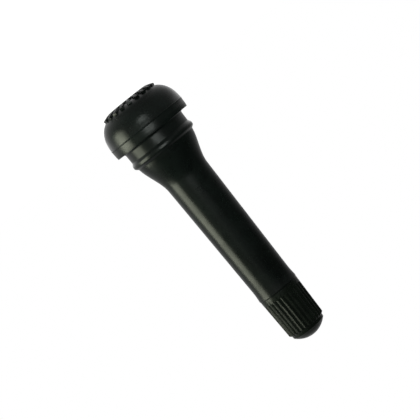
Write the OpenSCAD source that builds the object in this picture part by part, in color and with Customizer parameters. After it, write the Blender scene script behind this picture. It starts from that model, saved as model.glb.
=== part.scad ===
// Long snap-in tubeless tyre valve, standing on its head with its axis along +Z.
// Z = 0 is the plane of the raised marks on the head's face.

/* [Rubber head] */
// Diameter of the neck that sits in the rim hole
neck_d = 15.35; // [14:0.05:17]
// How far the head overhangs the neck all round
head_overhang = 1.92; // [1.2:0.02:3]
// Diameter of the flat part of the face
face_flat_d = 8.2; // [7:0.1:10]
// Height of the rounded part of the head
crown_h = 5.5; // [4:0.1:7]
// Height of the straight band above the round
band_h = 3.05; // [2.2:0.05:4]
// Width of the mould's parting line on the band
parting_w = 0.24; // [0.1:0.02:0.4]
// How far the parting line stands proud
parting_h = 0.08; // [0.02:0.01:0.15]

/* [Face marks] */
// Relief of the ring and the bars above the face
mark_relief = 0.55; // [0.3:0.05:0.8]
// Diameter of the air hole in the rubber
inlet_d = 4.4; // [4:0.1:5]
// Width of the plain ring around the air hole
ring_w = 1.2; // [0.6:0.1:1.6]
// Gap between that ring and the bars
ring_gap = 0.7; // [0.3:0.1:1]
// Length of one bar
bar_len = 2.65; // [1.5:0.05:3]
// Width of one bar
bar_w = 1; // [0.5:0.05:1.1]
// Number of bars
bar_count = 20; // [8:1:22]

/* [Neck and lip] */
// Plain length of the neck
neck_len = 2.5; // [1.5:0.1:4]
// Fillet between the neck and the underside of the head
neck_fillet = 0.25; // [0.1:0.05:0.4]
// How far the snap lip stands out of the neck
lip_h = 0.39; // [0.25:0.01:0.7]
// Radius of the crest of the lip
lip_round = 0.7; // [0.4:0.05:0.9]
// Slope of the lip on the head's side
lip_ramp_angle = 24.5; // [15:0.5:35]
// Slope of the lip on the cap's side
lip_back_angle = 42.5; // [30:0.5:60]
// Drop from the neck's radius to the start of the taper
shoulder_drop = 0.27; // [0.1:0.01:0.5]

/* [Rubber stem] */
// Length of the taper behind the lip
taper_len = 7.9; // [5:0.1:10]
// Length from the taper to the rubber's end
stem_len = 31.05; // [20:0.05:40]
// Rubber over the shank where the taper ends
cover_low_t = 2; // [1.4:0.05:3]
// Rubber over the shank below the flare
cover_top_t = 1.51; // [1:0.01:2]
// Rubber over the thread at the flared end
flare_t = 1.08; // [0.6:0.02:1.6]
// Length of the flare
flare_len = 2.7; // [1.5:0.1:4]
// Rounding of the flared end
end_round = 0.3; // [0.1:0.05:0.5]

/* [Brass stem] */
// Outside diameter of the cap thread
cap_thread_d = 7.75; // [7.4:0.05:8.2]
// Pitch of the cap thread
cap_thread_pitch = 0.794; // [0.6:0.002:1]
// Length of stem that stands out of the rubber
mouth_len = 8.9; // [7:0.1:12]
// Length of threaded stem inside the rubber
thread_sunk = 1.2; // [0.6:0.1:2]
// Wall of the shank around the air bore
shank_wall = 1.45; // [1:0.05:2]
// Height of the foot above the face
foot_rise = 4.45; // [3:0.05:6]
// Thickness of the foot
foot_t = 1.5; // [1:0.1:2]
// How far the foot stands out of the shank
foot_overhang = 1.3; // [0.8:0.1:2]
// Number of grip rings above the foot
grip_count = 3; // [1:1:4]
// Distance between grip rings
grip_pitch = 2; // [1.4:0.1:3]
// How far a grip ring stands out of the shank
grip_h = 0.45; // [0.2:0.05:0.8]

/* [Valve core] */
// Diameter of the pin
pin_d = 1; // [0.8:0.05:1.2]
// Depth of the pin's tip below the mouth
pin_drop = 0.35; // [0.1:0.05:0.8]
// Outside diameter of the plug's thread
core_thread_d = 5.2; // [5:0.05:5.6]
// Depth of the plug's top below the mouth
plug_drop = 1.4; // [1:0.05:2]
// Length of the flat-sided top of the plug
tang_len = 2.2; // [1.5:0.1:3]
// Distance across the flats of the plug's top
tang_w = 2.5; // [2.3:0.05:3]
// Length of the plug's thread
plug_thread_len = 3; // [2.5:0.1:4]
// Thickness of the barrel's swivel head
swivel_head_t = 0.9; // [0.6:0.05:1.2]
// Thickness of the plug's lip that holds the swivel head
swivel_lip_t = 0.5; // [0.3:0.05:0.7]
// Thickness of the barrel's upper flange
flange_t = 0.6; // [0.4:0.05:1]
// Length of the tapered seat and its gasket
seat_len = 2.6; // [2:0.1:3.5]
// Rise of the seat's radius over that length
seat_rise = 0.46; // [0.3:0.02:0.6]
// Length of the barrel below the gasket
barrel_tube_len = 6.9; // [5:0.1:9]
// Wall of the barrel around the spring
barrel_wall = 0.4; // [0.3:0.02:0.6]
// Free space between the barrel and the air bore
barrel_space = 0.4; // [0.3:0.02:0.6]
// Thickness of the barrel's floor under the spring
barrel_floor_t = 0.7; // [0.5:0.05:1]
// Thickness of the pin's spring collar
collar_t = 0.4; // [0.3:0.05:0.6]
// Thickness of the pin's gasket
pin_gasket_t = 0.8; // [0.5:0.05:1.2]
// Thickness of the floor of the pin's cup
cup_floor_t = 0.4; // [0.2:0.05:0.6]
// Wall of the pin's cup
cup_wall = 0.16; // [0.1:0.02:0.25]
// Wire diameter of the spring
wire_d = 0.26; // [0.2:0.02:0.32]
// Number of coils of the spring
coil_count = 8; // [5:1:10]

/* [Cap] */
// Gap between the rubber's end and the cap
cap_gap = 0.2; // [0.1:0.05:0.5]
// Wall of the cap's collar outside the thread
cap_wall = 0.93; // [0.8:0.01:1.3]
// Length of the plain collar
collar_len = 1.6; // [1:0.1:3]
// How much the cap draws in from the collar to the top of the ribs
cap_draft = 0.27; // [0.1:0.01:0.35]
// Number of ribs
rib_count = 28; // [20:1:30]
// Radius of the groove between two ribs
groove_r = 0.32; // [0.24:0.02:0.36]
// Depth of the grooves
groove_depth = 0.27; // [0.15:0.01:0.3]
// Thickness of the sealing washer in the cap
washer_t = 1; // [0.6:0.05:1.4]
// Thickness of the cap's crown above the washer's seat
crown_t = 0.8; // [0.5:0.05:1.2]
// Length of the shoulder between the ribs and the dome
shoulder_len = 0.7; // [0.4:0.05:1]
// How far the dome is set in from the ribs
dome_inset = 0.46; // [0.3:0.02:0.7]
// Height of the dome
dome_h = 1.9; // [1.2:0.05:2.5]
// Thickness of the dome
dome_t = 0.95; // [0.7:0.05:1.2]

/* [Clearances] */
// Radial clearance of threads and turning fits
turn_fit = 0.05; // [0.02:0.01:0.08]
// Clearance of pieces that stay together
snug_fit = 0.02; // [0.01:0.005:0.04]
// Clearance of the core's gasket from its seat
seat_fit = 0.05; // [0.03:0.01:0.1]
// Clearance of the pin in its guides, where the air passes
pin_space = 0.3; // [0.2:0.02:0.4]
// Clearance of the spring from the pin and the barrel
coil_space = 0.14; // [0.1:0.01:0.2]
// Clearance along the axis in the core's swivel and at the spring collar
play = 0.1; // [0.05:0.01:0.2]

/* [Hidden] */
$fn = 96;
rubber_colour = "#1d1d1b";
seal_colour = "#2a2a2c";
cap_colour = "#19191a";
brass_colour = "#b8964f";
steel_colour = "#a9abad";
arc_steps = 12;
coil_steps = 14;
wire_sides = 6;
// Depth of a thread for one unit of pitch
thread_share = 0.61;
// How far a cutting shape runs past the faces it cuts
over = 1;

// Radii, from the pin outwards
pin_r = pin_d / 2;
guide_r = pin_r + pin_space;
chamber_r = pin_r + wire_d + 2 * coil_space;
collar_r = chamber_r - coil_space / 2;
tube_r = chamber_r + barrel_wall;
air_r = tube_r + barrel_space;
seat_top_r = air_r + seat_rise;
flange_r = seat_top_r - barrel_space / 2;
retainer_r = air_r - barrel_space / 2;
cup_r = tube_r;
swivel_neck_r = guide_r + barrel_wall;
swivel_head_r = swivel_neck_r + swivel_lip_t / 2;
core_thread_r = core_thread_d / 2;
core_bore_r = core_thread_r + turn_fit;
shank_r = air_r + shank_wall;
cap_thread_r = cap_thread_d / 2;
cap_bore_r = cap_thread_r + turn_fit;
neck_r = neck_d / 2;
head_r = neck_r + head_overhang;
lip_r = neck_r + lip_h;
shoulder_r = neck_r - shoulder_drop;
stem_low_r = shank_r + cover_low_t;
stem_top_r = shank_r + cover_top_t;
flare_r = cap_thread_r + flare_t;
inlet_r = inlet_d / 2;
ring_r = inlet_r + ring_w;
bar_inner_r = ring_r + ring_gap;
bar_outer_r = bar_inner_r + bar_len;
face_flat_r = face_flat_d / 2;
mouth_chamfer = thread_share * cap_thread_pitch;

// Levels of the rubber body
crown_z = mark_relief + crown_h;
under_z = crown_z + band_h;
lip_start_z = under_z + neck_len;
crest_z = lip_start_z + lip_round * sin(lip_ramp_angle)
    + (lip_h - lip_round * (1 - cos(lip_ramp_angle))) / tan(lip_ramp_angle);
taper_z = crest_z + lip_round * sin(lip_back_angle)
    + (lip_r - lip_round * (1 - cos(lip_back_angle)) - shoulder_r) / tan(lip_back_angle);
stem_z = taper_z + taper_len;
rubber_end_z = stem_z + stem_len;
parting_z = crown_z + band_h / 3;

// Levels of the stem and the core, from the mouth down
mouth_z = rubber_end_z + mouth_len;
foot_z = mark_relief + foot_rise;
thread_z = rubber_end_z - thread_sunk;
pin_top_z = mouth_z - pin_drop;
plug_top_z = mouth_z - plug_drop;
plug_thread_z = plug_top_z - tang_len;
plug_z = plug_thread_z - plug_thread_len;
swivel_z = plug_z + swivel_lip_t;
flange_z = plug_z - play - flange_t;
seat_z = flange_z - seat_len;
retainer_z = seat_z - flange_t;
barrel_z = seat_z - barrel_tube_len;
chamber_floor_z = barrel_z + barrel_floor_t;
chamber_roof_z = flange_z - flange_t;
collar_z = chamber_roof_z - 2 * play - collar_t;
cup_z = barrel_z - pin_gasket_t - cup_floor_t;

// Levels of the cap
cap_z = rubber_end_z + cap_gap;
rib_z = cap_z + collar_len;
washer_seat_z = mouth_z + washer_t;
dome_z = washer_seat_z + crown_t;
rib_top_z = dome_z - shoulder_len;

// Points on an arc with its own radius along each axis
function arc(centre, radii, from, to) = [
    for (i = [0 : arc_steps])
        let (a = from + (to - from) * i / arc_steps)
            [centre[0] + radii[0] * cos(a), centre[1] + radii[1] * sin(a)]
];

// The taper leaves the lip with a slope and runs out level with the stem
taper_start_slope = 0.55;
function taper_share(u) = taper_start_slope * u * pow(1 - u, 2) + u * u * (3 - 2 * u);

// The head's rounded face, or the surface that lies proud of it
function crown_arc(proud) = arc([face_flat_r, crown_z],
    [head_r - face_flat_r + proud, crown_h + proud], 270, 360);

// Outside of the rubber, from the face to the flared end
function rubber_outline() = concat(
    crown_arc(0),
    [
        [head_r, parting_z - parting_w / 2],
        [head_r + parting_h, parting_z],
        [head_r, parting_z + parting_w / 2],
        [head_r, under_z]
    ],
    arc([neck_r + neck_fillet, under_z + neck_fillet], [neck_fillet, neck_fillet], 270, 180),
    [[neck_r, lip_start_z]],
    arc([lip_r - lip_round, crest_z], [lip_round, lip_round], -lip_ramp_angle, lip_back_angle),
    [
        for (i = [0 : arc_steps])
            let (u = i / arc_steps)
                [shoulder_r + (stem_low_r - shoulder_r) * taper_share(u), taper_z + taper_len * u]
    ],
    [
        for (i = [0 : arc_steps])
            let (u = i / arc_steps)
                [
                    stem_top_r + (flare_r - stem_top_r) * u * u,
                    rubber_end_z - flare_len + (flare_len - end_round) * u
                ]
    ],
    arc([flare_r - end_round, rubber_end_z - end_round], [end_round, end_round], 0, 90)
);

// Outside of the brass stem up to its mouth, from its foot
function stem_outline(gap) = concat(
    [
        [shank_r + foot_overhang + gap, foot_z - gap],
        [shank_r + foot_overhang + gap, foot_z + foot_t],
        [shank_r + gap, foot_z + foot_t + foot_overhang]
    ],
    [
        for (i = [0 : grip_count - 1])
            let (z = foot_z + foot_t + foot_overhang + grip_pitch * (i + 0.5))
                each [
                    [shank_r + gap, z - grip_h],
                    [shank_r + grip_h + gap, z],
                    [shank_r + gap, z + grip_h]
                ]
    ],
    [
        [shank_r + gap, thread_z - (cap_thread_r - shank_r)],
        [cap_thread_r + gap, thread_z]
    ]
);

// Raised ring and bars on the face
module face_marks() {
    rotate_extrude()
        translate([inlet_r, 0])
            square([ring_w, 2 * mark_relief]);
    intersection() {
        rotate_extrude()
            polygon(concat(
                [[0, crown_z], [0, 0]],
                crown_arc(mark_relief)
            ));
        for (i = [0 : bar_count - 1])
            rotate([0, 0, 360 * i / bar_count])
                translate([bar_inner_r, -bar_w / 2, 0])
                    cube([bar_len, bar_w, crown_z]);
    }
}

// Moulded rubber: head, sealing neck, snap lip, taper and stem cover
module rubber_body() {
    color(rubber_colour)
        difference() {
            union() {
                rotate_extrude()
                    polygon(concat(
                        [[inlet_r, mark_relief]],
                        rubber_outline(),
                        [[inlet_r, rubber_end_z]]
                    ));
                face_marks();
            }
            rotate_extrude()
                polygon(concat(
                    [[0, foot_z - snug_fit]],
                    stem_outline(snug_fit),
                    [
                        [cap_thread_r + snug_fit, rubber_end_z + over],
                        [0, rubber_end_z + over]
                    ]
                ));
        }
}

// Turned brass tube with the cap thread outside, and the core thread and core seat inside
module brass_stem() {
    color(brass_colour)
        rotate_extrude()
            polygon(concat(
                [[air_r, foot_z]],
                stem_outline(0),
                [
                    [cap_thread_r, mouth_z - mouth_chamfer],
                    [cap_thread_r - mouth_chamfer, mouth_z],
                    [core_bore_r + pin_drop, mouth_z],
                    [core_bore_r, mouth_z - pin_drop],
                    [core_bore_r, plug_z - play],
                    [seat_top_r, flange_z],
                    [air_r, seat_z]
                ]
            ));
}

// Plug of the core: thread, swivel socket below and two flats on top
module core_plug() {
    color(brass_colour)
        difference() {
            union() {
                translate([0, 0, plug_z])
                    cylinder(h = plug_thread_len, r = core_thread_r);
                intersection() {
                    translate([0, 0, plug_thread_z])
                        cylinder(h = tang_len, r = core_thread_r - mouth_chamfer);
                    translate([-core_thread_r, -tang_w / 2, plug_thread_z])
                        cube([core_thread_d, tang_w, tang_len]);
                }
            }
            translate([0, 0, plug_z - over])
                cylinder(h = plug_top_z - plug_z + 2 * over, r = guide_r);
            translate([0, 0, plug_z - over])
                cylinder(h = swivel_lip_t + over + play, r = swivel_neck_r + turn_fit);
            translate([0, 0, swivel_z])
                cylinder(h = swivel_head_t + 2 * play, r = swivel_head_r + turn_fit);
        }
}

// Barrel of the core: swivel head, gasket seat, spring chamber and lower sealing rim
module core_barrel() {
    color(brass_colour)
        rotate_extrude()
            polygon([
                [guide_r, barrel_z],
                [tube_r, barrel_z],
                [tube_r, retainer_z],
                [retainer_r, retainer_z],
                [retainer_r, seat_z - snug_fit],
                [tube_r, seat_z - snug_fit],
                [tube_r, flange_z + snug_fit],
                [flange_r, flange_z + snug_fit],
                [flange_r, flange_z + flange_t],
                [swivel_neck_r, flange_z + flange_t],
                [swivel_neck_r, swivel_z + play],
                [swivel_head_r, swivel_z + play],
                [swivel_head_r, swivel_z + play + swivel_head_t],
                [guide_r, swivel_z + play + swivel_head_t],
                [guide_r, chamber_roof_z],
                [chamber_r, chamber_roof_z],
                [chamber_r, chamber_floor_z],
                [guide_r, chamber_floor_z]
            ]);
}

// Tapered ring that seals the barrel in the stem
module barrel_gasket() {
    color(seal_colour)
        rotate_extrude()
            polygon([
                [tube_r + snug_fit, seat_z],
                [air_r - seat_fit, seat_z],
                [seat_top_r - seat_fit, flange_z],
                [tube_r + snug_fit, flange_z]
            ]);
}

// Coil spring between the barrel's floor and the pin's collar
module core_spring() {
    mean_r = pin_r + coil_space + wire_d / 2;
    low_z = chamber_floor_z + play / 2 + wire_d / 2;
    rise = collar_z - play / 2 - wire_d / 2 - low_z;
    ring_count = coil_count * coil_steps + 1;
    points = [
        for (i = [0 : ring_count - 1], j = [0 : wire_sides - 1])
            let (
                turn = 360 * i / coil_steps,
                side = 360 * j / wire_sides,
                r = mean_r + wire_d / 2 * cos(side)
            )
                [r * cos(turn), r * sin(turn), low_z + rise * i / (ring_count - 1) + wire_d / 2 * sin(side)]
    ];
    walls = [
        for (i = [0 : ring_count - 2], j = [0 : wire_sides - 1])
            let (
                a = i * wire_sides + j,
                b = i * wire_sides + (j + 1) % wire_sides
            )
                each [[a, b, b + wire_sides], [a, b + wire_sides, a + wire_sides]]
    ];
    first_end = [for (j = [wire_sides - 1 : -1 : 0]) j];
    last_end = [for (j = [0 : wire_sides - 1]) (ring_count - 1) * wire_sides + j];
    color(steel_colour)
        polyhedron(points, concat(walls, [first_end, last_end]));
}

// Pin with its spring collar and riveted lower end
module core_pin() {
    tip = pin_d / 4;
    color(brass_colour)
        rotate_extrude()
            polygon([
                [0, cup_z - cup_floor_t],
                [guide_r, cup_z - cup_floor_t],
                [guide_r, cup_z],
                [pin_r, cup_z],
                [pin_r, collar_z],
                [collar_r, collar_z],
                [collar_r, collar_z + collar_t],
                [pin_r, collar_z + collar_t],
                [pin_r, pin_top_z - tip],
                [pin_r - tip, pin_top_z],
                [0, pin_top_z]
            ]);
}

// Cup that holds the pin's gasket
module pin_cup() {
    color(brass_colour)
        rotate_extrude()
            polygon([
                [pin_r + snug_fit, cup_z],
                [cup_r, cup_z],
                [cup_r, barrel_z - pin_gasket_t / 3],
                [cup_r - cup_wall, barrel_z - pin_gasket_t / 3],
                [cup_r - cup_wall, cup_z + cup_floor_t],
                [pin_r + snug_fit, cup_z + cup_floor_t]
            ]);
}

// Seal that closes on the barrel's lower rim
module pin_gasket() {
    color(seal_colour)
        rotate_extrude()
            polygon([
                [pin_r + snug_fit, barrel_z - pin_gasket_t],
                [cup_r - cup_wall - snug_fit, barrel_z - pin_gasket_t],
                [cup_r - cup_wall - snug_fit, barrel_z],
                [pin_r + snug_fit, barrel_z]
            ]);
}

// Sealing washer between the stem's mouth and the cap
module cap_gasket() {
    color(seal_colour)
        rotate_extrude()
            polygon([
                [core_bore_r + 2 * turn_fit, mouth_z],
                [cap_thread_r, mouth_z],
                [cap_thread_r, washer_seat_z],
                [core_bore_r + 2 * turn_fit, washer_seat_z]
            ]);
}

// Screw cap with a plain collar, lengthwise ribs and a domed end
module valve_cap() {
    collar_r = cap_bore_r + cap_wall;
    rib_top_r = collar_r - cap_draft;
    dome_r = rib_top_r - dome_inset;
    recess_r = core_bore_r + 4 * turn_fit;
    sphere_r = (dome_r * dome_r + dome_h * dome_h) / (2 * dome_h);
    sphere_z = dome_z + dome_h - sphere_r;
    inner_r = sphere_r - dome_t;
    entry = cap_wall / 3;
    draft_angle = atan(cap_draft / (rib_top_z - cap_z));
    rib_start_r = collar_r - cap_draft * collar_len / (rib_top_z - cap_z);
    color(cap_colour)
        difference() {
            rotate_extrude()
                polygon(concat(
                    [
                        [cap_bore_r + entry, cap_z],
                        [collar_r, cap_z],
                        [rib_top_r, rib_top_z]
                    ],
                    arc([0, sphere_z], [sphere_r, sphere_r], asin((dome_z - sphere_z) / sphere_r), 90),
                    arc([0, sphere_z], [inner_r, inner_r], 90, acos(recess_r / inner_r)),
                    [
                        [recess_r, washer_seat_z],
                        [cap_bore_r, washer_seat_z],
                        [cap_bore_r, cap_z + entry]
                    ]
                ));
            for (i = [0 : rib_count - 1])
                rotate([0, 0, 360 * i / rib_count])
                    translate([rib_start_r - groove_depth + groove_r, 0, rib_z])
                        rotate([0, -draft_angle, 0])
                            cylinder(h = dome_z - rib_z, r = groove_r);
        }
}

rubber_body();
brass_stem();
core_plug();
core_barrel();
barrel_gasket();
core_spring();
core_pin();
pin_cup();
pin_gasket();
cap_gasket();
valve_cap();
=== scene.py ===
import bmesh
import bpy
from math import atan2, cos, degrees, floor, hypot, pi, radians, sin, sqrt, tan
from mathutils import Matrix, Vector
from mathutils.geometry import interpolate_bezier


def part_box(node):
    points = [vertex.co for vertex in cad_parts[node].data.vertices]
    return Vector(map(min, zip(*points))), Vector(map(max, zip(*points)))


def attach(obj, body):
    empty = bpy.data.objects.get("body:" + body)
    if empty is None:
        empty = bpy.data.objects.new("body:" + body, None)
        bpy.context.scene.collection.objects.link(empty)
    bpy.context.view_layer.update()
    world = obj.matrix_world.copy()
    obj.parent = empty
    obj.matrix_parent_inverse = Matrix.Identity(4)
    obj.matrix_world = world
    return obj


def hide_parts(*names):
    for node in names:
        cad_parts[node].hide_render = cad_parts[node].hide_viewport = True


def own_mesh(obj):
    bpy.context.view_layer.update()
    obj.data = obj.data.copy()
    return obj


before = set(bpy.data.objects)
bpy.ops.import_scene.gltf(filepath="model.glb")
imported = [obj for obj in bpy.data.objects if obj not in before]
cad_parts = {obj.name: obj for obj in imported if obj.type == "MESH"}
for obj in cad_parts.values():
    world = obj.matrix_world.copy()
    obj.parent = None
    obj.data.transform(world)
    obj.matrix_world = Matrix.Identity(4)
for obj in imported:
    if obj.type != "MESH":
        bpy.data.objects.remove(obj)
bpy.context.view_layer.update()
scene = bpy.context.scene
scene.view_settings.view_transform = "Standard"
mm = 0.001  # sizes below are in millimetres, meshes are scaled to metres when they are done
weld = 0.0005  # points closer than this become one
threadFlank = 30  # slope of a thread's sides, in degrees
threadSunk = 0.02  # how far a thread's root lies inside its wall


# lowest z, highest z and largest radius of a node, in millimetres
def extent(node):
    low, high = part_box(node)
    return low.z / mm, high.z / mm, min(high.x, high.y) / mm


shot = {
    "lens": 166.1,
    "eye": (0.8, -420, 5.5),
    "aim": (0.8, 0, 29.93),
    "axisTilt": 51.22,  # the valve's axis runs this far below level, to the right
    "near": 10,
    "far": 20000,
}

sight = (Vector(shot["aim"]) - Vector(shot["eye"])).normalized()
tilt = radians(shot["axisTilt"])
right = Vector((-sin(tilt), 0, cos(tilt)))
right = (right - sight * right.dot(sight)).normalized()
up = right.cross(sight)
cameraData = bpy.data.cameras.new("photoCamera")
cameraData.lens = shot["lens"]
cameraData.clip_start = shot["near"] * mm
cameraData.clip_end = shot["far"] * mm
camera = bpy.data.objects.new("photoCamera", cameraData)
facing = Matrix((right, up, -sight)).transposed().to_4x4()
camera.matrix_world = Matrix.Translation(Vector(shot["eye"]) * mm) @ facing
scene.collection.objects.link(camera)
scene.camera = camera

lamps = {
    "keySoftbox": {
        "at": (300, -54, 52), "aim": (0, -54, 52), "size": (192, 102),
        "watts": 0.64, "colour": (0.95, 1, 0.79),
    },
    "frontStrip": {
        "at": (0, -300, 40), "aim": (0, 0, 40), "size": (240, 50),
        "watts": 0.02, "colour": (0.92, 1, 0.97),
    },
    "headWindow": {
        "at": (-0.7, -60, 12.6), "aim": (-0.7, 0, 12.6), "size": (23.4, 7.2),
        "watts": 0.0083, "colour": (0.92, 1, 0.95),
    },
    "headCard": {
        "at": (31, -12.2, 5), "aim": (0, -12.2, 5), "size": (13.6, 8),
        "watts": 0.0016, "colour": (0.95, 1, 0.79),
    },
    "leftFill": {
        "at": (190, -380, 80), "aim": (0, 0, 40), "size": (320, 150),
        "watts": 0.06, "colour": (0.94, 1, 0.86),
    },
}
for lampName, lamp in lamps.items():
    lampData = bpy.data.lights.new(lampName, "AREA")
    lampData.shape = "RECTANGLE"
    lampData.size = lamp["size"][0] * mm
    lampData.size_y = lamp["size"][1] * mm
    lampData.energy = lamp["watts"]
    lampData.color = lamp["colour"]
    lampObject = bpy.data.objects.new(lampName, lampData)
    facing = (Vector(lamp["aim"]) - Vector(lamp["at"])).to_track_quat("-Z", "Y").to_matrix().to_4x4()
    lampObject.matrix_world = Matrix.Translation(Vector(lamp["at"]) * mm) @ facing
    lampObject.visible_camera = False
    scene.collection.objects.link(lampObject)


# a new node with some of its sockets and options set
def addNode(tree, kind, sockets=None, **options):
    node = tree.nodes.new(kind)
    for option, value in options.items():
        setattr(node, option, value)
    for socket, value in (sockets or {}).items():
        node.inputs[socket].default_value = value
    return node


room = {
    "ambient": 0.35, "frontGloss": 0.04, "backGloss": 0.58,
    "bright": (0.34, 0.92, 0.18), "dimFrom": -0.2, "brightFrom": 0.8,  # reflections grow brighter this way
}

world = bpy.data.worlds.new("whiteRoom")
scene.world = world
world.use_nodes = True
tree = world.node_tree
direction = addNode(tree, "ShaderNodeTexCoord")
towards = addNode(tree, "ShaderNodeVectorMath", {1: room["bright"]}, operation="DOT_PRODUCT")
backdrop = addNode(tree, "ShaderNodeMapRange", {
    "From Min": room["dimFrom"], "From Max": room["brightFrom"],
    "To Min": room["frontGloss"], "To Max": room["backGloss"],
})
path = addNode(tree, "ShaderNodeLightPath")
seen = addNode(tree, "ShaderNodeMath", operation="MAXIMUM")
glossMix = addNode(tree, "ShaderNodeMix", {"A": room["ambient"]})
seenMix = addNode(tree, "ShaderNodeMix", {"B": 1.0})
tree.links.new(direction.outputs["Generated"], towards.inputs[0])
tree.links.new(towards.outputs["Value"], backdrop.inputs["Value"])
tree.links.new(path.outputs["Is Camera Ray"], seen.inputs[0])
tree.links.new(path.outputs["Is Transmission Ray"], seen.inputs[1])
tree.links.new(path.outputs["Is Glossy Ray"], glossMix.inputs["Factor"])
tree.links.new(backdrop.outputs["Result"], glossMix.inputs["B"])
tree.links.new(seen.outputs[0], seenMix.inputs["Factor"])
tree.links.new(glossMix.outputs["Result"], seenMix.inputs["A"])
tree.nodes["Background"].inputs["Color"].default_value = (1, 1, 1, 1)
tree.links.new(seenMix.outputs["Result"], tree.nodes["Background"].inputs["Strength"])

paleFloor = {
    "width": 1600, "cells": 4, "glow": 0.8,
    "colour": (0.9, 0.9, 0.9, 1), "polish": (0.9, 0.9, 0.9, 1), "rough": 0.1,
    "frontGloss": 0.32, "backGloss": 1.0, "backY": 50,  # how bright reflections see it, in front and behind
    "paintedGlowR": 6.2, "paintedGlowFade": 1.0, "paintedGlowGloss": 0.45,  # a disc of glow painted into the floor under the head, seen only in reflections, paints a highlight on the bars of its face
}

floorMaterial = bpy.data.materials.new("paleFloor")
floorMaterial.use_nodes = True
tree = floorMaterial.node_tree
tree.nodes.remove(tree.nodes["Principled BSDF"])
matt = addNode(tree, "ShaderNodeBsdfDiffuse", {"Color": paleFloor["colour"]})
polish = addNode(tree, "ShaderNodeBsdfGlossy", {"Color": paleFloor["polish"], "Roughness": paleFloor["rough"]})
top = addNode(tree, "ShaderNodeMixShader")
glow = addNode(tree, "ShaderNodeEmission", {"Color": (1, 1, 1, 1)})
path = addNode(tree, "ShaderNodeLightPath")
seen = addNode(tree, "ShaderNodeMath", operation="MAXIMUM")
place = addNode(tree, "ShaderNodeTexCoord")
axes = addNode(tree, "ShaderNodeSeparateXYZ")
backdrop = addNode(tree, "ShaderNodeMapRange", {
    "From Min": 0, "From Max": paleFloor["backY"] * mm,
    "To Min": paleFloor["frontGloss"], "To Max": paleFloor["backGloss"],
})
reach = addNode(tree, "ShaderNodeVectorMath", operation="LENGTH")
# painted reflection: the floor glows in a disc under the head, for glossy rays only, so the bars on the face look
# lighter
paintedGlow = addNode(tree, "ShaderNodeMapRange", {
    "From Min": paleFloor["paintedGlowR"] * mm, "From Max": (paleFloor["paintedGlowR"] + paleFloor["paintedGlowFade"]) * mm,
    "To Min": paleFloor["paintedGlowGloss"], "To Max": 0,
})
mirrored = addNode(tree, "ShaderNodeMath", operation="ADD")
glossMix = addNode(tree, "ShaderNodeMix", {"A": 0.0})
seenMix = addNode(tree, "ShaderNodeMix", {"B": paleFloor["glow"]})
both = addNode(tree, "ShaderNodeAddShader")
tree.links.new(place.outputs["Object"], axes.inputs[0])
tree.links.new(axes.outputs["Y"], backdrop.inputs["Value"])
tree.links.new(place.outputs["Object"], reach.inputs[0])
tree.links.new(reach.outputs["Value"], paintedGlow.inputs["Value"])
tree.links.new(backdrop.outputs["Result"], mirrored.inputs[0])
tree.links.new(paintedGlow.outputs["Result"], mirrored.inputs[1])
tree.links.new(path.outputs["Is Camera Ray"], seen.inputs[0])
tree.links.new(path.outputs["Is Transmission Ray"], seen.inputs[1])
tree.links.new(path.outputs["Is Glossy Ray"], glossMix.inputs["Factor"])
tree.links.new(mirrored.outputs[0], glossMix.inputs["B"])
tree.links.new(seen.outputs[0], seenMix.inputs["Factor"])
tree.links.new(glossMix.outputs["Result"], seenMix.inputs["A"])
tree.links.new(seenMix.outputs["Result"], glow.inputs["Strength"])
tree.links.new(path.outputs["Is Glossy Ray"], top.inputs[0])
tree.links.new(matt.outputs[0], top.inputs[1])
tree.links.new(polish.outputs[0], top.inputs[2])
tree.links.new(top.outputs[0], both.inputs[0])
tree.links.new(glow.outputs[0], both.inputs[1])
tree.links.new(both.outputs[0], tree.nodes["Material Output"].inputs["Surface"])

bm = bmesh.new()
bmesh.ops.create_grid(bm, x_segments=paleFloor["cells"], y_segments=paleFloor["cells"],
                      size=paleFloor["width"] / 2 * mm)
floorMesh = bpy.data.meshes.new("paleFloor")
bm.to_mesh(floorMesh)
bm.free()
floorMesh.materials.append(floorMaterial)
floorPlane = bpy.data.objects.new("paleFloor", floorMesh)
scene.collection.objects.link(floorPlane)
print("camera, lamps and floor set")


# a finish with its fixed sockets set, ready for patterns
def newFinish(name, sockets):
    finish = bpy.data.materials.new(name)
    finish.use_nodes = True
    shader = finish.node_tree.nodes["Principled BSDF"]
    for socket, value in sockets.items():
        shader.inputs[socket].default_value = value
    return finish, finish.node_tree, shader


noiseSpan = {"mottleLow": 0.35, "mottleHigh": 0.65, "patchLow": 0.3, "patchHigh": 0.7}  # part of each noise in use


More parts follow.
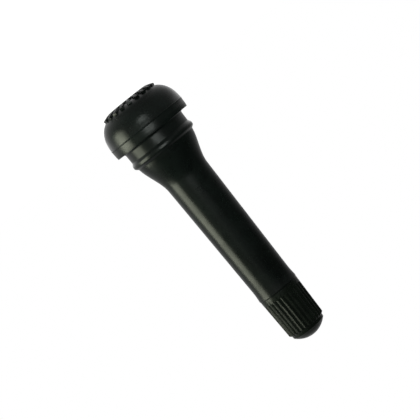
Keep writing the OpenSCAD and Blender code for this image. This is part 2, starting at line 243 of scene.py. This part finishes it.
# mottled colour, uneven gloss and fine relief from three noises on the piece
def addPatterns(tree, shader, look):
    place = addNode(tree, "ShaderNodeTexCoord")
    stretch = addNode(tree, "ShaderNodeMapping", {"Scale": look["stretch"]})
    tree.links.new(place.outputs["Object"], stretch.inputs["Vector"])
    mottle = addNode(tree, "ShaderNodeTexNoise", {"Scale": look["mottle"], "Detail": 4})
    ramp = addNode(tree, "ShaderNodeValToRGB")
    ramp.color_ramp.elements[0].position = noiseSpan["mottleLow"]
    ramp.color_ramp.elements[1].position = noiseSpan["mottleHigh"]
    ramp.color_ramp.elements[0].color = (*look["dark"], 1)
    ramp.color_ramp.elements[1].color = (*look["light"], 1)
    patches = addNode(tree, "ShaderNodeTexNoise", {"Scale": look["patches"], "Detail": 3})
    gloss = addNode(tree, "ShaderNodeMapRange", {
        "From Min": noiseSpan["patchLow"], "From Max": noiseSpan["patchHigh"],
        "To Min": look["smooth"], "To Max": look["rough"],
    })
    grain = addNode(tree, "ShaderNodeTexNoise", {"Scale": look["grain"], "Detail": 2})
    relief = addNode(tree, "ShaderNodeBump", {"Strength": look["relief"], "Distance": look["depth"] * mm})
    tree.links.new(place.outputs["Object"], mottle.inputs["Vector"])
    tree.links.new(stretch.outputs["Vector"], patches.inputs["Vector"])
    tree.links.new(stretch.outputs["Vector"], grain.inputs["Vector"])
    tree.links.new(mottle.outputs["Fac"], ramp.inputs["Fac"])
    tree.links.new(ramp.outputs["Color"], shader.inputs["Base Color"])
    tree.links.new(patches.outputs["Fac"], gloss.inputs["Value"])
    tree.links.new(gloss.outputs["Result"], shader.inputs["Roughness"])
    tree.links.new(grain.outputs["Fac"], relief.inputs["Height"])
    tree.links.new(relief.outputs["Normal"], shader.inputs["Normal"])
    return gloss


bodyRubber, tree, shader = newFinish("bodyRubber", {"Specular IOR Level": 0.16})
rubberGloss = addPatterns(tree, shader, {
    "stretch": (1, 1, 1), "mottle": 260, "dark": (0.0026, 0.0043, 0.0035), "light": (0.0045, 0.0072, 0.0059),
    "patches": 420, "smooth": 0.25, "rough": 0.33, "grain": 2600, "relief": 0.12, "depth": 0.05,
})
neckBand = {"low": 9.2, "high": 11.9, "fade": 0.3, "duller": 0.04}  # the sealing neck is less polished
place = addNode(tree, "ShaderNodeTexCoord")
axes = addNode(tree, "ShaderNodeSeparateXYZ")
rise = addNode(tree, "ShaderNodeMapRange", {
    "From Min": neckBand["low"] * mm, "From Max": (neckBand["low"] + neckBand["fade"]) * mm,
})
fall = addNode(tree, "ShaderNodeMapRange", {
    "From Min": neckBand["high"] * mm, "From Max": (neckBand["high"] - neckBand["fade"]) * mm,
})
band = addNode(tree, "ShaderNodeMath", operation="MULTIPLY")
duller = addNode(tree, "ShaderNodeMath", {1: neckBand["duller"]}, operation="MULTIPLY_ADD")
tree.links.new(place.outputs["Object"], axes.inputs[0])
tree.links.new(axes.outputs["Z"], rise.inputs["Value"])
tree.links.new(axes.outputs["Z"], fall.inputs["Value"])
tree.links.new(rise.outputs["Result"], band.inputs[0])
tree.links.new(fall.outputs["Result"], band.inputs[1])
tree.links.new(band.outputs[0], duller.inputs[0])
tree.links.new(rubberGloss.outputs["Result"], duller.inputs[2])
tree.links.new(duller.outputs[0], shader.inputs["Roughness"])

capPlastic, tree, shader = newFinish("capPlastic", {"Specular IOR Level": 0.14})
addPatterns(tree, shader, {
    "stretch": (1, 1, 0.35), "mottle": 400, "dark": (0.0037, 0.0058, 0.0038), "light": (0.0060, 0.0093, 0.0062),
    "patches": 700, "smooth": 0.26, "rough": 0.34, "grain": 3200, "relief": 0.14, "depth": 0.04,
})

turnedBrass, tree, shader = newFinish("turnedBrass", {"Metallic": 1.0})
addPatterns(tree, shader, {
    "stretch": (0.02, 0.02, 1), "mottle": 300, "dark": (0.52, 0.37, 0.13), "light": (0.68, 0.51, 0.22),
    "patches": 5200, "smooth": 0.22, "rough": 0.38, "grain": 9000, "relief": 0.2, "depth": 0.02,
})

sealRubber, tree, shader = newFinish("sealRubber", {"Specular IOR Level": 0.25})
addPatterns(tree, shader, {
    "stretch": (1, 1, 1), "mottle": 600, "dark": (0.012, 0.012, 0.013), "light": (0.020, 0.020, 0.021),
    "patches": 900, "smooth": 0.45, "rough": 0.6, "grain": 4000, "relief": 0.1, "depth": 0.03,
})

springSteel, tree, shader = newFinish("springSteel", {"Metallic": 1.0})
addPatterns(tree, shader, {
    "stretch": (1, 1, 1), "mottle": 900, "dark": (0.38, 0.39, 0.40), "light": (0.52, 0.53, 0.54),
    "patches": 2500, "smooth": 0.2, "rough": 0.34, "grain": 9000, "relief": 0.1, "depth": 0.01,
})
print("finishes mixed")


# handles and end of a curve along a circle, as one stroke of a profile
def arcStroke(centre, radius, fromAngle, toAngle):
    a, b = radians(fromAngle), radians(toAngle)
    reach = radius * 4 / 3 * tan((b - a) / 4)
    return (
        centre[0] + radius * cos(a) - reach * sin(a), centre[1] + radius * sin(a) + reach * cos(a),
        centre[0] + radius * cos(b) + reach * sin(b), centre[1] + radius * sin(b) - reach * cos(b),
        centre[0] + radius * cos(b), centre[1] + radius * sin(b),
    )


# a support point part of the way from one point to another
def between(a, b, share):
    return a[0] + (b[0] - a[0]) * share, a[1] + (b[1] - a[1]) * share


# A profile is drawn in strokes of radius and height: two numbers draw a line, a third rounds that corner,
# and six draw a curve by its two handles and its end.
def drawProfile(bm, strokes, closed=True, curveSteps=14, roundSteps=4):
    chain, rounds = [], {}
    for stroke in strokes:
        if len(stroke) == 6:
            h1, h2, end = [Vector((stroke[i], 0, stroke[i + 1])) for i in (0, 2, 4)]
            chain += [bm.verts.new(p) for p in interpolate_bezier(chain[-1].co, h1, h2, end, curveSteps + 1)[1:]]
        else:
            chain.append(bm.verts.new((stroke[0], 0, stroke[1])))
            if len(stroke) == 3:
                rounds[len(chain) - 1] = stroke[2]
    ends = chain[1:] + chain[:1] if closed else chain[1:]
    for a, b in zip(chain, ends):
        bm.edges.new((a, b))
    corners = []
    for i, radius in rounds.items():
        before = (chain[i].co - chain[i - 1].co).normalized()
        after = (chain[(i + 1) % len(chain)].co - chain[i].co).normalized()
        corners.append((chain[i], radius * tan(before.angle(after) / 2)))
    for corner, offset in corners:
        bmesh.ops.bevel(bm, geom=[corner], offset=offset, offset_type="OFFSET", segments=roundSteps,
                        profile=0.5, affect="VERTICES", material=-1)


# the drawn profile turned once round the axis, its seam and poles closed
def turnProfile(bm, columns):
    bmesh.ops.spin(bm, geom=bm.verts[:] + bm.edges[:], cent=(0, 0, 0), axis=(0, 0, 1), dvec=(0, 0, 0),
                   angle=2 * pi, steps=columns, use_merge=True)
    bmesh.ops.remove_doubles(bm, verts=bm.verts, dist=weld)
    bmesh.ops.recalc_face_normals(bm, faces=bm.faces)


# A right-hand thread's ridge, wound from one turn to another; at turn 0 its middle is at startZ.
# The root lies a little inside the wall, and is the larger radius on an inside thread.
# A chamfer's lower end and radius cut the crest down towards the mouth.
def addThread(bm, rootR, crestR, crestWidth, pitch, startZ, fromTurn, toTurn, chamfer=None, columns=80):
    rootWidth = crestWidth + 2 * abs(crestR - rootR) * tan(radians(threadFlank))
    section = [(rootR, -rootWidth / 2), (crestR, -crestWidth / 2), (crestR, crestWidth / 2), (rootR, rootWidth / 2)]
    coil = bmesh.new()
    coil.faces.new([coil.verts.new((r, 0, startZ + pitch * fromTurn + z)) for r, z in section])
    bmesh.ops.rotate(coil, verts=coil.verts, cent=(0, 0, 0), matrix=Matrix.Rotation(2 * pi * fromTurn, 3, "Z"))
    steps = int((toTurn - fromTurn) * columns)
    bmesh.ops.spin(coil, geom=coil.faces[:], cent=(0, 0, 0), axis=(0, 0, 1), dvec=(0, 0, pitch / columns),
                   angle=2 * pi * steps / columns, steps=steps, use_merge=False)
    for v in coil.verts if chamfer else []:
        shrink = min(1, (chamfer[1] - max(0, v.co.z - chamfer[0])) / hypot(v.co.x, v.co.y))
        v.co.x *= shrink
        v.co.y *= shrink
    wound = bpy.data.meshes.new("wound")
    coil.to_mesh(wound)
    coil.free()
    bm.from_mesh(wound)
    bpy.data.meshes.remove(wound)


# scales the mesh to metres, hangs it on its body and gives it its finish
def finishPiece(bm, name, body, node, material, sharp=35):
    bmesh.ops.recalc_face_normals(bm, faces=bm.faces)
    bmesh.ops.scale(bm, vec=(mm, mm, mm), verts=bm.verts)
    mesh = bpy.data.meshes.new(name)
    bm.to_mesh(mesh)
    bm.free()
    mesh.shade_smooth()
    mesh.set_sharp_from_angle(angle=radians(sharp))
    mesh.materials.append(material)
    piece = bpy.data.objects.new(name, mesh)
    scene.collection.objects.link(piece)
    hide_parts(node)
    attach(piece, body)
    print(name, "made with", len(mesh.polygons), "faces")
    return piece


rubberSize = {
    "relief": 0.55, "inletR": 2.2, "ringR": 3.4, "ringRound": 0.15,  # raised ring on the face
    "faceR": 4.1, "crownR": 9.595, "crownZ": 6.05, "crownEndR": 9.575, "crownEndZ": 6.8, "crownLean": 2.5,  # head
    "crownPull": 3.1, "crownHold": 1.2,  # handles of the crown's second curve
    "partingZ": 6.88, "partingRound": 0.03, "shoulderZ": 7.14, "shoulderR": 9.585, "shoulderRound": 0.2,
    "rimR": 9.555, "rimZ": 7.95, "rimBend": ((0, 0.25), (0.017, 0.42), (0.045, 0.67)),
    "rimDrop": 0.1, "rimRound": 0.06, "underZ": 9.1,
    "barCount": 20, "barColumns": 12, "barWide": 7, "barEndR": 6.75, "barFacing": -0.5,  # bars on the face
    "barDraft": 0.12, "barShort": 0.04, "barRound": 0.045,
    "neckR": 7.69, "neckEndR": 7.635, "neckFillet": 0.45,
    "shoulderHold": 0.1, "neckHolds": (0.2, 0.96), "stemHold": 14,  # support points that keep the shading even
    "lipStart": 11.58, "lipR": 8.06, "lipZ": 12.57, "lipRound": 0.6, "lipFlat": 0.15, "ramp": 27, "rampRound": 0.1,
    "back": 46, "taperZ": 13.55, "taperR": 7.37, "taperRound": 0.2, "taperSlope": 0.55,
    "stemZ": 21.5, "stemR": 5.29, "flareZ": 49.85, "flareLowR": 4.8, "flareR": 4.95,
    "endRound": 0.1, "endTurn": 0.4, "endReach": 0.04,
    "footZ": 4.98, "footR": 4.61, "footTop": 6.5, "shankR": 3.31, "shankZ": 7.8,
    "sleeveZ": 51.35, "sleeveR": 3.895, "sleeveRound": 0.03,
    "registerR": 4.85, "register": 0.18, "registerRound": 0.02,  # low ring that closes most of the gap to the cap
}
s = rubberSize
bottom, top, headR = extent("rubber_body")
crown = s["crownR"] - s["faceR"]
barAngle = degrees(atan2(s["barEndR"] - s["faceR"], sqrt(crown ** 2 - (s["barEndR"] - s["faceR"]) ** 2)))
crownCentre = (s["faceR"], s["crownZ"])
barEndZ = s["crownZ"] - crown * cos(radians(barAngle))
lean = radians(s["crownLean"])
ramp = radians(s["ramp"])
lipX = s["lipR"] - s["lipRound"]
stemSlope = (s["flareLowR"] - s["stemR"]) / (s["flareZ"] - s["stemZ"])
neckLow, neckHigh = (s["neckR"], s["underZ"]), (s["neckEndR"], s["lipStart"])

bm = bmesh.new()
drawProfile(bm, [
    (s["inletR"], s["footZ"]),
    (s["inletR"], bottom, s["ringRound"]),
    (s["ringR"], bottom, s["ringRound"]),
    (s["ringR"], s["relief"], s["ringRound"]),
    (s["faceR"], s["relief"]),
    arcStroke(crownCentre, crown, -90, -90 + barAngle),
    (
        s["barEndR"] + s["crownPull"] * cos(radians(barAngle)), barEndZ + s["crownPull"] * sin(radians(barAngle)),
        s["crownEndR"] - s["crownHold"] * sin(lean), s["crownEndZ"] - s["crownHold"] * cos(lean),
        s["crownEndR"], s["crownEndZ"],
    ),
    (headR, s["partingZ"], s["partingRound"]),
    (s["shoulderR"], s["shoulderZ"], s["shoulderRound"]),
    between((s["shoulderR"], s["shoulderZ"]), (s["rimR"], s["underZ"]), s["shoulderHold"]),
    (s["rimR"], s["rimZ"]),
    [number for drop, rise in s["rimBend"] for number in (s["rimR"] - drop, s["rimZ"] + rise)],
    (s["rimR"] - s["rimDrop"], s["underZ"], s["rimRound"]),
    (*neckLow, s["neckFillet"]),
    *[between(neckLow, neckHigh, share) for share in s["neckHolds"]],
    (*neckHigh, s["rampRound"]),
    (lipX + s["lipRound"] * cos(ramp), s["lipZ"] - s["lipFlat"] - s["lipRound"] * sin(ramp)),
    arcStroke((lipX, s["lipZ"] - s["lipFlat"]), s["lipRound"], -s["ramp"], 0),
    (s["lipR"], s["lipZ"] + s["lipFlat"]),
    arcStroke((lipX, s["lipZ"] + s["lipFlat"]), s["lipRound"], 0, s["back"]),
    (s["taperR"], s["taperZ"], s["taperRound"]),
    (
        s["taperR"] + (s["stemR"] - s["taperR"]) * s["taperSlope"] / 3, s["taperZ"] * 2 / 3 + s["stemZ"] / 3,
        s["stemR"], s["taperZ"] / 3 + s["stemZ"] * 2 / 3, s["stemR"], s["stemZ"],
    ),
    (s["stemR"] + stemSlope * s["stemHold"], s["stemZ"] + s["stemHold"]),
    (s["flareLowR"], s["flareZ"]),
    (
        s["flareLowR"], s["flareZ"] * 2 / 3 + top / 3,
        s["flareLowR"] * 2 / 3 + s["flareR"] / 3, s["flareZ"] / 3 + top * 2 / 3, s["flareR"], top - s["endRound"],
    ),
    (s["flareR"], top - s["endRound"] * s["endTurn"], s["registerR"] + s["endReach"], top, s["registerR"], top),
    (s["registerR"], top + s["register"], s["registerRound"]),
    (s["sleeveR"], top + s["register"], s["sleeveRound"]),
    (s["sleeveR"], s["sleeveZ"]),
    (s["shankR"], s["sleeveZ"] - s["sleeveR"] + s["shankR"]),
    (s["shankR"], s["shankZ"]),
    (s["footR"], s["footTop"]),
    (s["footR"], s["footZ"]),
], curveSteps=18)
columns = s["barCount"] * s["barColumns"]
turnProfile(bm, columns)
bmesh.ops.rotate(bm, verts=bm.verts, cent=(0, 0, 0), matrix=Matrix.Rotation(pi / columns, 3, "Z"))


# faces of the crown that carry a bar
def onBar(face):
    centre = face.calc_center_median()
    r = hypot(centre.x, centre.y)
    column = floor((atan2(centre.y, centre.x) + pi / s["barCount"]) / (2 * pi) * columns)
    inBar = abs(column % s["barColumns"] - (s["barColumns"] - 1) / 2) < s["barWide"] / 2
    facesDown = face.normal.z < s["barFacing"] and centre.z < s["crownZ"] / 2
    return inBar and facesDown and s["faceR"] < r < s["barEndR"]


barFaces = [face for face in bm.faces if onBar(face)]
bmesh.ops.inset_region(bm, faces=barFaces, thickness=s["barDraft"], depth=s["relief"] - s["barShort"],
                       use_boundary=True, use_even_offset=True)
barSet = set(barFaces)
barEdges = [edge for edge in bm.edges if len({face in barSet for face in edge.link_faces}) == 2]
bmesh.ops.bevel(bm, geom=barEdges, offset=s["barRound"], offset_type="OFFSET", segments=2, profile=0.5,
                affect="EDGES", material=-1, clamp_overlap=True)
finishPiece(bm, "rubberBody", "stem", "rubber_body", bodyRubber)

capThread = {"pitch": 0.79375, "startZ": 52.8}  # shared by the stem and the cap
coreThread = {"pitch": 0.70556, "startZ": 55.15}  # shared by the stem and the core's plug

capSize = {
    "boreR": 3.925, "entry": 0.31, "rimRound": 0.03,
    "collarTop": 54.05, "ribTop": 62.55, "ribTopR": 4.585, "ribEnd": 62.35,
    "ribHolds": (-0.05, 0, 2, 5), "ribRound": 0.08,  # heights of support points above the collar
    "domeFootZ": 62.75, "domeFootR": 4.11, "footRound": 0.08,
    "footBend": ((0.015, 0.28), (0.045, 0.17), (0.11, 0.07)),  # steps inwards and below the dome's edge
    "domeZ": 63.5, "domeR": 3.9, "domeH": 1.65, "domeT": 0.95,
    "ribCount": 28, "ribColumns": 16, "grooveHalf": 0.51, "grooveDepth": 0.21, "grooveWall": 27,
    "grooveSlack": 0.01, "boreSlack": 0.05,  # keep the grooves off the collar and the bore
    "recessR": 2.85, "washerZ": 62.45,
    "threadR": 3.5, "threadCrest": 0.1, "fromTurn": 0.25, "toTurn": 9.6,
    "turn": -0.4,  # degrees that the cap is turned by in the photo
}
s = capSize
capLow, capHigh, collarR = extent("valve_cap")
draft = (collarR - s["ribTopR"]) / (s["ribTop"] - capLow)
ribStartR = collarR - draft * (s["collarTop"] - capLow)
domeBall = (s["domeR"] ** 2 + s["domeH"] ** 2) / (2 * s["domeH"])
ballZ = capHigh - domeBall
domeAngle = degrees(atan2(s["domeZ"] - ballZ, s["domeR"]))
innerBall = domeBall - s["domeT"]
recessAngle = degrees(atan2(sqrt(innerBall ** 2 - s["recessR"] ** 2), s["recessR"]))

bm = bmesh.new()
drawProfile(bm, [
    (0, capHigh - s["domeT"]),
    arcStroke((0, ballZ), innerBall, 90, recessAngle),
    (s["recessR"], s["washerZ"]),
    (s["boreR"], s["washerZ"]),
    (s["boreR"], capLow + s["entry"]),
    (s["boreR"] + s["entry"], capLow),
    (collarR, capLow, s["rimRound"]),
    *[(ribStartR - draft * hold, s["collarTop"] + hold) for hold in s["ribHolds"]],
    (s["ribTopR"] + draft * (s["ribTop"] - s["ribEnd"]), s["ribEnd"], s["ribRound"]),
    (s["domeFootR"], s["domeFootZ"], s["footRound"]),
    *[(s["domeFootR"] - inwards, s["domeZ"] - below) for inwards, below in s["footBend"]],
    (s["domeR"], s["domeZ"]),
    arcStroke((0, ballZ), domeBall, domeAngle, 90),
], closed=False, curveSteps=12)
turnProfile(bm, s["ribCount"] * s["ribColumns"])
for v in bm.verts:
    r = hypot(v.co.x, v.co.y)
    if v.co.z < s["collarTop"] - s["grooveSlack"] or r < s["boreR"] + s["boreSlack"]:
        continue
    turn = atan2(v.co.y, v.co.x) * s["ribCount"] / (2 * pi)
    across = abs(turn - round(turn)) * 2 * pi / s["ribCount"] * r
    if across < s["grooveHalf"]:
        depth = min(s["grooveDepth"], (s["grooveHalf"] - across) * tan(radians(s["grooveWall"])))
        shrink = min(1, (ribStartR - draft * (v.co.z - s["collarTop"]) - depth) / r)
        v.co.x *= shrink
        v.co.y *= shrink
bmesh.ops.rotate(bm, verts=bm.verts, cent=(0, 0, 0), matrix=Matrix.Rotation(radians(s["turn"]), 3, "Z"))
addThread(bm, s["boreR"] + threadSunk, s["threadR"], s["threadCrest"], capThread["pitch"],
          capThread["startZ"] + capThread["pitch"] / 2, s["fromTurn"], s["toTurn"])
finishPiece(bm, "valveCap", "cap", "valve_cap", capPlastic, sharp=50)

stemSize = {
    "airR": 1.84, "footT": 1.5, "shankR": 3.29, "edge": 0.1, "columns": 128,
    "gripCount": 3, "gripPitch": 2, "grip": 0.45, "gripRound": 0.05,
    "sleeveZ": 51.35, "threadR": 3.875, "rootZ": 52.4, "runOut": 0.1, "rootR": 3.4, "mouthRound": 0.06,
    "crest": 0.1, "toTurn": 10.4, "chamfer": 0.484,
    "boreR": 2.65, "countersink": 0.35, "boreZ": 54.75, "seatTopR": 2.3, "seatTopZ": 54.15, "seatZ": 51.55,
    "boreCrestR": 2.32, "boreFrom": -0.7, "boreTo": 7.2,
}
s = stemSize
footZ, mouthZ, footR = extent("brass_stem")
neckZ = footZ + s["footT"] + footR - s["shankR"]
grips = []
for i in range(s["gripCount"]):
    z = neckZ + s["gripPitch"] * (i + 0.5)
    grips += [
        (s["shankR"], z - s["grip"]),
        (s["shankR"] + s["grip"], z, s["gripRound"]),
        (s["shankR"], z + s["grip"]),
    ]

bm = bmesh.new()
drawProfile(bm, [
    (s["airR"], footZ, s["edge"]),
    (footR, footZ, s["edge"]),
    (footR, footZ + s["footT"], s["edge"]),
    (s["shankR"], neckZ),
    *grips,
    (s["shankR"], s["sleeveZ"] - s["threadR"] + s["shankR"]),
    (s["threadR"], s["sleeveZ"]),
    (s["threadR"], s["rootZ"] - s["runOut"]),
    (s["rootR"], s["rootZ"]),
    (s["rootR"], mouthZ, s["mouthRound"]),
    (s["boreR"] + s["countersink"], mouthZ),
    (s["boreR"], mouthZ - s["countersink"]),
    (s["boreR"], s["boreZ"]),
    (s["seatTopR"], s["seatTopZ"]),
    (s["airR"], s["seatZ"]),
])
turnProfile(bm, s["columns"])
addThread(bm, s["rootR"] - threadSunk, s["threadR"], s["crest"], capThread["pitch"], capThread["startZ"],
          0, s["toTurn"], chamfer=(mouthZ - s["chamfer"], s["threadR"]))
addThread(bm, s["boreR"] + threadSunk, s["boreCrestR"], s["crest"], coreThread["pitch"],
          coreThread["startZ"] + coreThread["pitch"] / 2, s["boreFrom"], s["boreTo"])
finishPiece(bm, "brassStem", "stem", "brass_stem", turnedBrass)

plugSize = {
    "guideR": 0.8, "tangZ": 57.85, "tangR": 2.116, "tangW": 2.5,
    "tangFoot": 0.02, "tangRound": 0.01, "flatFrom": 0.015,
    "threadR": 2.6, "rootR": 2.17, "crest": 0.1, "toTurn": 3.4,
    "neckR": 1.25, "lip": 0.5, "socketR": 1.5, "socketTop": 56.45, "edge": 0.1, "columns": 96,
}
s = plugSize
plugLow, plugHigh = extent("core_plug")[:2]
bm = bmesh.new()
drawProfile(bm, [
    (s["guideR"], plugHigh, s["edge"]),
    (s["tangR"], plugHigh, s["edge"]),
    (s["tangR"], s["tangZ"] + s["tangFoot"]),
    (s["rootR"], s["tangZ"], s["tangRound"]),
    (s["rootR"], plugLow, s["edge"]),
    (s["neckR"], plugLow),
    (s["neckR"], plugLow + s["lip"]),
    (s["socketR"], plugLow + s["lip"]),
    (s["socketR"], s["socketTop"]),
    (s["guideR"], s["socketTop"]),
])
turnProfile(bm, s["columns"])
for v in bm.verts:  # two flats for the core key
    if v.co.z > s["tangZ"] + s["flatFrom"]:
        v.co.y = max(-s["tangW"] / 2, min(s["tangW"] / 2, v.co.y))
addThread(bm, s["rootR"] - threadSunk, s["threadR"], s["crest"], coreThread["pitch"], coreThread["startZ"],
          0, s["toTurn"])
finishPiece(bm, "corePlug", "plug", "core_plug", turnedBrass)

barrelSize = {
    "guideR": 0.8, "chamberR": 1.04, "tubeR": 1.44, "retainerR": 1.64, "flangeR": 2.1, "neckR": 1.2, "headR": 1.45,
    "retainerZ": 50.95, "seatZ": 51.53, "flangeZ": 54.17, "flangeT": 0.58, "headZ": 55.45,
    "floorZ": 45.35, "roofZ": 53.55, "edge": 0.06, "columns": 96,
}
s = barrelSize
barrelLow, barrelHigh = extent("core_barrel")[:2]
bm = bmesh.new()
drawProfile(bm, [
    (s["guideR"], barrelLow, s["edge"]),
    (s["tubeR"], barrelLow, s["edge"]),
    (s["tubeR"], s["retainerZ"]),
    (s["retainerR"], s["retainerZ"], s["edge"]),
    (s["retainerR"], s["seatZ"], s["edge"]),
    (s["tubeR"], s["seatZ"]),
    (s["tubeR"], s["flangeZ"]),
    (s["flangeR"], s["flangeZ"], s["edge"]),
    (s["flangeR"], s["flangeZ"] + s["flangeT"], s["edge"]),
    (s["neckR"], s["flangeZ"] + s["flangeT"]),
    (s["neckR"], s["headZ"]),
    (s["headR"], s["headZ"], s["edge"]),
    (s["headR"], barrelHigh, s["edge"]),
    (s["guideR"], barrelHigh, s["edge"]),
    (s["guideR"], s["roofZ"]),
    (s["chamberR"], s["roofZ"]),
    (s["chamberR"], s["floorZ"]),
    (s["guideR"], s["floorZ"]),
])
turnProfile(bm, s["columns"])
finishPiece(bm, "coreBarrel", "core", "core_barrel", turnedBrass)

# soft rings: inner radius, lower and upper outer radius, and how much their edges are rounded
sealSizes = {
    "barrelGasket": {
        "node": "barrel_gasket", "body": "core",
        "innerR": 1.46, "lowR": 1.79, "highR": 2.25, "round": 0.12, "columns": 96,
    },
    "pinGasket": {
        "node": "pin_gasket", "body": "pin",
        "innerR": 0.52, "lowR": 1.26, "highR": 1.26, "round": 0.08, "columns": 96,
    },
    "capGasket": {
        "node": "cap_gasket", "body": "cap_seal",
        "innerR": 2.75, "lowR": 3.875, "highR": 3.875, "round": 0.15, "columns": 96,
    },
}
for sealName, s in sealSizes.items():
    low, high = extent(s["node"])[:2]
    bm = bmesh.new()
    drawProfile(bm, [
        (s["innerR"], low, s["round"]),
        (s["lowR"], low, s["round"]),
        (s["highR"], high, s["round"]),
        (s["innerR"], high, s["round"]),
    ])
    turnProfile(bm, s["columns"])
    finishPiece(bm, sealName, s["body"], s["node"], sealRubber)

pinSize = {
    "pinR": 0.5, "rivetR": 0.8, "rivetZ": 43.45, "rivetRound": 0.25,
    "collarZ": 52.95, "collarT": 0.4, "collarR": 0.97, "tip": 0.2, "edge": 0.06, "columns": 64,
}
s = pinSize
pinLow, pinHigh = extent("core_pin")[:2]
bm = bmesh.new()
drawProfile(bm, [
    (0, pinLow),
    (s["rivetR"], pinLow, s["rivetRound"]),
    (s["rivetR"], s["rivetZ"]),
    (s["pinR"], s["rivetZ"]),
    (s["pinR"], s["collarZ"]),
    (s["collarR"], s["collarZ"], s["edge"]),
    (s["collarR"], s["collarZ"] + s["collarT"], s["edge"]),
    (s["pinR"], s["collarZ"] + s["collarT"]),
    (s["pinR"], pinHigh, s["tip"]),
    (0, pinHigh),
], closed=False)
turnProfile(bm, s["columns"])
finishPiece(bm, "corePin", "pin", "core_pin", turnedBrass)

cupSize = {"innerR": 0.52, "wall": 0.16, "floorT": 0.4, "footRound": 0.15, "edge": 0.05, "columns": 64}
s = cupSize
cupLow, cupHigh, cupR = extent("pin_cup")
bm = bmesh.new()
drawProfile(bm, [
    (s["innerR"], cupLow),
    (cupR, cupLow, s["footRound"]),
    (cupR, cupHigh, s["edge"]),
    (cupR - s["wall"], cupHigh, s["edge"]),
    (cupR - s["wall"], cupLow + s["floorT"]),
    (s["innerR"], cupLow + s["floorT"]),
])
turnProfile(bm, s["columns"])
finishPiece(bm, "pinCup", "pin", "pin_cup", turnedBrass)

springSize = {"wireR": 0.13, "coils": 8, "sides": 10, "coilSteps": 24, "floorZ": 45.35}
s = springSize
springLow, springHigh, springR = extent("core_spring")
coilSteps = s["coils"] * s["coilSteps"]
rise = springHigh - springLow - 2 * s["wireR"]
bm = bmesh.new()
bmesh.ops.create_circle(bm, cap_ends=True, segments=s["sides"], radius=s["wireR"])
bmesh.ops.rotate(bm, verts=bm.verts, cent=(0, 0, 0), matrix=Matrix.Rotation(pi / 2, 3, "X"))
bmesh.ops.translate(bm, verts=bm.verts, vec=(springR - s["wireR"], 0, springLow + s["wireR"]))
bmesh.ops.spin(bm, geom=bm.faces[:], cent=(0, 0, 0), axis=(0, 0, 1), dvec=(0, 0, rise / coilSteps),
               angle=2 * pi * s["coils"], steps=coilSteps, use_merge=False)
coreSpring = finishPiece(bm, "coreSpring", "core", "core_spring", springSteel, sharp=60)
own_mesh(coreSpring)
